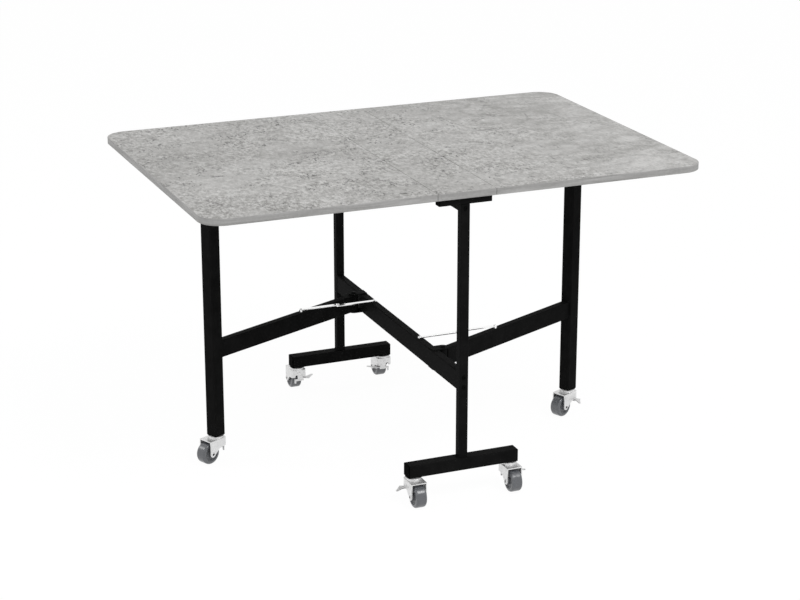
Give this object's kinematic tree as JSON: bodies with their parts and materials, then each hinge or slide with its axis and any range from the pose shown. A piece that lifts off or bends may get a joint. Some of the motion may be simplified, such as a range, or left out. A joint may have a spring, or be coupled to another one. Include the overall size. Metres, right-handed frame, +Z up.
{
  "type": "folding table",
  "caption": "Drop-leaf folding dining table: rounded grey top with hinged leaves on swing-out gate legs, folding stays, black tube frame and braked swivel castors.",
  "frame": {"origin": "on the floor under the middle of the open table", "axes": "+X along the open table towards the right leaf, +Y across it towards the rear post, +Z up"},
  "size_m": [1.24, 0.91, 0.75],
  "materials": {
    "laminate": "matt concrete-effect laminate",
    "black_steel": "black powder coat",
    "zinc": "bright zinc plate",
    "black_plastic": "moulded black plastic",
    "grey_rubber": "grey non-marking tread"
  },
  "bodies": {
    "frame": {"centre_strip": "laminate", "front_post": "black_steel", "rear_post": "black_steel", "front_foot": "black_steel", "rear_foot": "black_steel", "front_head": "black_steel", "rear_head": "black_steel", "top_rail": "black_steel", "lower_rail": "black_steel", "left_gate_pin": "zinc", "right_gate_pin": "zinc", "left_front_strip_wing": "zinc", "left_rear_strip_wing": "zinc", "right_front_strip_wing": "zinc", "right_rear_strip_wing": "zinc", "front_left_castor_mount": "zinc", "front_right_castor_mount": "zinc", "rear_left_castor_mount": "zinc", "rear_right_castor_mount": "zinc"},
    "left_leaf": {"left_leaf": "laminate", "left_front_leaf_wing": "zinc", "left_rear_leaf_wing": "zinc"},
    "left_gate": {"left_gate_arm": "black_steel", "left_gate_leg": "black_steel", "left_gate_pad": "black_plastic", "left_gate_socket": "black_plastic", "left_gate_castor_mount": "zinc"},
    "left_rail_link": {"left_stay_rail_link": "zinc"},
    "left_gate_link": {"left_stay_gate_link": "zinc"},
    "right_leaf": {"right_leaf": "laminate", "right_front_leaf_wing": "zinc", "right_rear_leaf_wing": "zinc"},
    "right_gate": {"right_gate_arm": "black_steel", "right_gate_leg": "black_steel", "right_gate_pad": "black_plastic", "right_gate_socket": "black_plastic", "right_gate_castor_mount": "zinc"},
    "right_rail_link": {"right_stay_rail_link": "zinc"},
    "right_gate_link": {"right_stay_gate_link": "zinc"},
    "front_left_fork": {"front_left_castor_fork": "zinc"},
    "front_left_wheel": {"front_left_castor_wheel": "grey_rubber"},
    "front_left_lever": {"front_left_brake_lever": "zinc"},
    "front_right_fork": {"front_right_castor_fork": "zinc"},
    "front_right_wheel": {"front_right_castor_wheel": "grey_rubber"},
    "front_right_lever": {"front_right_brake_lever": "zinc"},
    "rear_left_fork": {"rear_left_castor_fork": "zinc"},
    "rear_left_wheel": {"rear_left_castor_wheel": "grey_rubber"},
    "rear_left_lever": {"rear_left_brake_lever": "zinc"},
    "rear_right_fork": {"rear_right_castor_fork": "zinc"},
    "rear_right_wheel": {"rear_right_castor_wheel": "grey_rubber"},
    "rear_right_lever": {"rear_right_brake_lever": "zinc"},
    "right_gate_fork": {"right_gate_castor_fork": "zinc"},
    "right_gate_wheel": {"right_gate_castor_wheel": "grey_rubber"},
    "right_gate_lever": {"right_gate_brake_lever": "zinc"},
    "left_gate_fork": {"left_gate_castor_fork": "zinc"},
    "left_gate_wheel": {"left_gate_castor_wheel": "grey_rubber"},
    "left_gate_lever": {"left_gate_brake_lever": "zinc"}
  },
  "joints": [
    {"name": "left_leaf_lift", "type": "hinge", "parent": "frame", "child": "left_leaf", "pos_m": [-0.0726, 0, 0.7307], "axis": [0, 1, 0], "range_deg": [0, 3]},
    {"name": "left_gate_swing", "type": "hinge", "parent": "frame", "child": "left_gate", "pos_m": [-0.024, 0.232, 0.287], "axis": [0, 0, 1], "range_deg": [0, 64]},
    {"name": "left_stay_rail_turn", "type": "hinge", "parent": "frame", "child": "left_rail_link", "pos_m": [0, 0.15, 0.313], "axis": [0, 0, 1], "range_deg": [0, 131.2]},
    {"name": "left_stay_gate_turn", "type": "hinge", "parent": "left_gate", "child": "left_gate_link", "pos_m": [-0.19985, 0.15, 0.3154], "axis": [0, 0, 1], "range_deg": [-42.7, 0]},
    {"name": "right_leaf_lift", "type": "hinge", "parent": "frame", "child": "right_leaf", "pos_m": [0.0726, 0, 0.7307], "axis": [0, -1, 0], "range_deg": [0, 3]},
    {"name": "right_gate_swing", "type": "hinge", "parent": "frame", "child": "right_gate", "pos_m": [0.024, -0.232, 0.287], "axis": [0, 0, 1], "range_deg": [0, 64]},
    {"name": "right_stay_rail_turn", "type": "hinge", "parent": "frame", "child": "right_rail_link", "pos_m": [0, -0.15, 0.313], "axis": [0, 0, 1], "range_deg": [0, 131.2]},
    {"name": "right_stay_gate_turn", "type": "hinge", "parent": "right_gate", "child": "right_gate_link", "pos_m": [0.19985, -0.15, 0.3154], "axis": [0, 0, 1], "range_deg": [-42.7, 0]},
    {"name": "front_left_swivel", "type": "hinge", "parent": "frame", "child": "front_left_fork", "pos_m": [-0.123, -0.4, 0.0625], "axis": [0, 0, 1], "continuous": true},
    {"name": "front_left_roll", "type": "hinge", "parent": "front_left_fork", "child": "front_left_wheel", "pos_m": [-0.123, -0.428, 0.027], "axis": [1, 0, 0], "continuous": true},
    {"name": "front_left_brake", "type": "hinge", "parent": "front_left_fork", "child": "front_left_lever", "pos_m": [-0.123, -0.3853, 0.0525], "axis": [0, -1, 0], "range_deg": [0, 15]},
    {"name": "front_right_swivel", "type": "hinge", "parent": "frame", "child": "front_right_fork", "pos_m": [0.123, -0.4, 0.0625], "axis": [0, 0, 1], "continuous": true},
    {"name": "front_right_roll", "type": "hinge", "parent": "front_right_fork", "child": "front_right_wheel", "pos_m": [0.123, -0.428, 0.027], "axis": [1, 0, 0], "continuous": true},
    {"name": "front_right_brake", "type": "hinge", "parent": "front_right_fork", "child": "front_right_lever", "pos_m": [0.123, -0.3853, 0.0525], "axis": [0, 1, 0], "range_deg": [0, 15]},
    {"name": "rear_left_swivel", "type": "hinge", "parent": "frame", "child": "rear_left_fork", "pos_m": [-0.123, 0.4, 0.0625], "axis": [0, 0, 1], "continuous": true},
    {"name": "rear_left_roll", "type": "hinge", "parent": "rear_left_fork", "child": "rear_left_wheel", "pos_m": [-0.123, 0.428, 0.027], "axis": [-1, 0, 0], "continuous": true},
    {"name": "rear_left_brake", "type": "hinge", "parent": "rear_left_fork", "child": "rear_left_lever", "pos_m": [-0.123, 0.3853, 0.0525], "axis": [0, 1, 0], "range_deg": [0, 15]},
    {"name": "rear_right_swivel", "type": "hinge", "parent": "frame", "child": "rear_right_fork", "pos_m": [0.123, 0.4, 0.0625], "axis": [0, 0, 1], "continuous": true},
    {"name": "rear_right_roll", "type": "hinge", "parent": "rear_right_fork", "child": "rear_right_wheel", "pos_m": [0.123, 0.428, 0.027], "axis": [-1, 0, 0], "continuous": true},
    {"name": "rear_right_brake", "type": "hinge", "parent": "rear_right_fork", "child": "rear_right_lever", "pos_m": [0.123, 0.3853, 0.0525], "axis": [0, -1, 0], "range_deg": [0, 15]},
    {"name": "right_gate_swivel", "type": "hinge", "parent": "right_gate", "child": "right_gate_fork", "pos_m": [0.47081, -0.02365, 0.0625], "axis": [0, 0, 1], "continuous": true},
    {"name": "right_gate_roll", "type": "hinge", "parent": "right_gate_fork", "child": "right_gate_wheel", "pos_m": [0.44543, -0.03548, 0.027], "axis": [0.4226, -0.9063, 0], "continuous": true},
    {"name": "right_gate_brake", "type": "hinge", "parent": "right_gate_fork", "child": "right_gate_lever", "pos_m": [0.48413, -0.01744, 0.0525], "axis": [0.9063, 0.4226, 0], "range_deg": [0, 15]},
    {"name": "left_gate_swivel", "type": "hinge", "parent": "left_gate", "child": "left_gate_fork", "pos_m": [-0.47081, 0.02365, 0.0625], "axis": [0, 0, 1], "continuous": true},
    {"name": "left_gate_roll", "type": "hinge", "parent": "left_gate_fork", "child": "left_gate_wheel", "pos_m": [-0.49619, 0.01182, 0.027], "axis": [0.4226, -0.9063, 0], "continuous": true},
    {"name": "left_gate_brake", "type": "hinge", "parent": "left_gate_fork", "child": "left_gate_lever", "pos_m": [-0.45749, 0.02986, 0.0525], "axis": [-0.9063, -0.4226, 0], "range_deg": [0, 15]}
  ],
  "couplings": [
    {"joint": "left_stay_rail_turn", "follows": "left_gate_swing", "ratio": 2.0473},
    {"joint": "left_stay_gate_turn", "follows": "left_gate_swing", "ratio": -0.6642},
    {"joint": "right_stay_rail_turn", "follows": "right_gate_swing", "ratio": 2.0473},
    {"joint": "right_stay_gate_turn", "follows": "right_gate_swing", "ratio": -0.6642}
  ]
}
